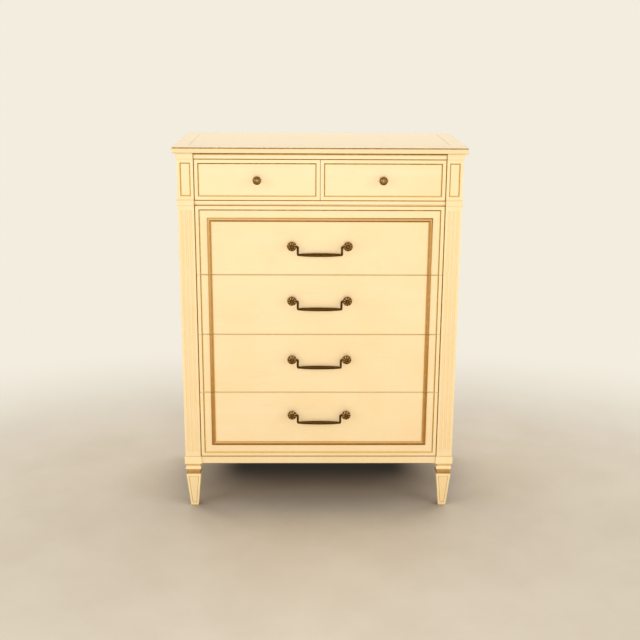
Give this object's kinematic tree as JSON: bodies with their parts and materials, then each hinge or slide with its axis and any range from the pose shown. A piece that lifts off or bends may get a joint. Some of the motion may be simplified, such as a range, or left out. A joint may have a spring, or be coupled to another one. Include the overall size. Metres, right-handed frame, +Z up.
{
  "type": "highboy chest of drawers",
  "caption": "Tall cream-painted neoclassical highboy: small knobbed drawers over long drawers with swing-bail pulls, between fluted pilasters, on moulded tapered feet.",
  "frame": {"origin": "on the floor, in the middle of the overall footprint, knobs and pulls included", "axes": "+Z up; +X to the right seen from the front; +Y to the back; the drawers open towards -Y"},
  "size_m": [0.965, 0.5206, 1.276],
  "materials": {
    "painted_case": "cream paint, satin, with brown glaze rubbed into the recesses",
    "painted_top": "cream paint, satin, faintly yellowed",
    "glazed_bead": "cream paint under a heavy gold-brown glaze",
    "drawer_wood": "clear-sealed hardwood",
    "inner_wood": "unfinished secondary wood",
    "antique_bronze": "antiqued dark bronze, rubbed bright on the high spots"
  },
  "bodies": {
    "case": {"top_panel": "painted_top", "frieze_rail": "painted_case", "mid_rail": "painted_case", "apron_rails": "painted_case", "left_side": "painted_case", "right_side": "painted_case", "back_panel": "inner_wood", "left_pilaster": "painted_case", "right_pilaster": "painted_case", "upper_caps": "painted_case", "mid_caps": "painted_case", "front_feet": "painted_case", "rear_feet": "painted_case", "base_frame": "inner_wood", "lower_frame": "inner_wood", "centre_frame": "inner_wood", "upper_frame": "inner_wood", "mid_frame": "inner_wood", "top_frame": "inner_wood", "drawer_guides": "inner_wood", "centre_divider": "inner_wood"},
    "top_left_drawer": {"top_left_drawer_front": "painted_case", "top_left_drawer_sides": "drawer_wood", "top_left_drawer_bottom": "drawer_wood", "top_left_drawer_back": "drawer_wood", "top_left_drawer_knob": "antique_bronze"},
    "top_right_drawer": {"top_right_drawer_front": "painted_case", "top_right_drawer_sides": "drawer_wood", "top_right_drawer_bottom": "drawer_wood", "top_right_drawer_back": "drawer_wood", "top_right_drawer_knob": "antique_bronze"},
    "long_drawer_1": {"long_drawer_1_front": "painted_case", "long_drawer_1_sides": "drawer_wood", "long_drawer_1_bottom": "drawer_wood", "long_drawer_1_back": "drawer_wood", "long_drawer_1_bead": "glazed_bead", "long_drawer_1_pull_posts": "antique_bronze"},
    "long_drawer_1_bail": {"long_drawer_1_bail": "antique_bronze"},
    "long_drawer_2": {"long_drawer_2_front": "painted_case", "long_drawer_2_sides": "drawer_wood", "long_drawer_2_bottom": "drawer_wood", "long_drawer_2_back": "drawer_wood", "long_drawer_2_bead": "glazed_bead", "long_drawer_2_pull_posts": "antique_bronze"},
    "long_drawer_2_bail": {"long_drawer_2_bail": "antique_bronze"},
    "long_drawer_3": {"long_drawer_3_front": "painted_case", "long_drawer_3_sides": "drawer_wood", "long_drawer_3_bottom": "drawer_wood", "long_drawer_3_back": "drawer_wood", "long_drawer_3_bead": "glazed_bead", "long_drawer_3_pull_posts": "antique_bronze"},
    "long_drawer_3_bail": {"long_drawer_3_bail": "antique_bronze"},
    "long_drawer_4": {"long_drawer_4_front": "painted_case", "long_drawer_4_sides": "drawer_wood", "long_drawer_4_bottom": "drawer_wood", "long_drawer_4_back": "drawer_wood", "long_drawer_4_bead": "glazed_bead", "long_drawer_4_pull_posts": "antique_bronze"},
    "long_drawer_4_bail": {"long_drawer_4_bail": "antique_bronze"}
  },
  "joints": [
    {"name": "top_left_drawer_slide", "type": "slide", "parent": "case", "child": "top_left_drawer", "axis": [0, -1, 0], "range_m": [0, 0.36]},
    {"name": "top_right_drawer_slide", "type": "slide", "parent": "case", "child": "top_right_drawer", "axis": [0, -1, 0], "range_m": [0, 0.36]},
    {"name": "long_drawer_1_slide", "type": "slide", "parent": "case", "child": "long_drawer_1", "axis": [0, -1, 0], "range_m": [0, 0.36]},
    {"name": "long_drawer_1_bail_swing", "type": "hinge", "parent": "long_drawer_1", "child": "long_drawer_1_bail", "pos_m": [0, -0.24225, 0.9466], "axis": [-1, 0, 0], "range_deg": [0, 95]},
    {"name": "long_drawer_2_slide", "type": "slide", "parent": "case", "child": "long_drawer_2", "axis": [0, -1, 0], "range_m": [0, 0.36]},
    {"name": "long_drawer_2_bail_swing", "type": "hinge", "parent": "long_drawer_2", "child": "long_drawer_2_bail", "pos_m": [0, -0.24225, 0.7591], "axis": [-1, 0, 0], "range_deg": [0, 95]},
    {"name": "long_drawer_3_slide", "type": "slide", "parent": "case", "child": "long_drawer_3", "axis": [0, -1, 0], "range_m": [0, 0.36]},
    {"name": "long_drawer_3_bail_swing", "type": "hinge", "parent": "long_drawer_3", "child": "long_drawer_3_bail", "pos_m": [0, -0.24225, 0.5521], "axis": [-1, 0, 0], "range_deg": [0, 95]},
    {"name": "long_drawer_4_slide", "type": "slide", "parent": "case", "child": "long_drawer_4", "axis": [0, -1, 0], "range_m": [0, 0.36]},
    {"name": "long_drawer_4_bail_swing", "type": "hinge", "parent": "long_drawer_4", "child": "long_drawer_4_bail", "pos_m": [0, -0.24225, 0.35], "axis": [-1, 0, 0], "range_deg": [0, 95]}
  ]
}
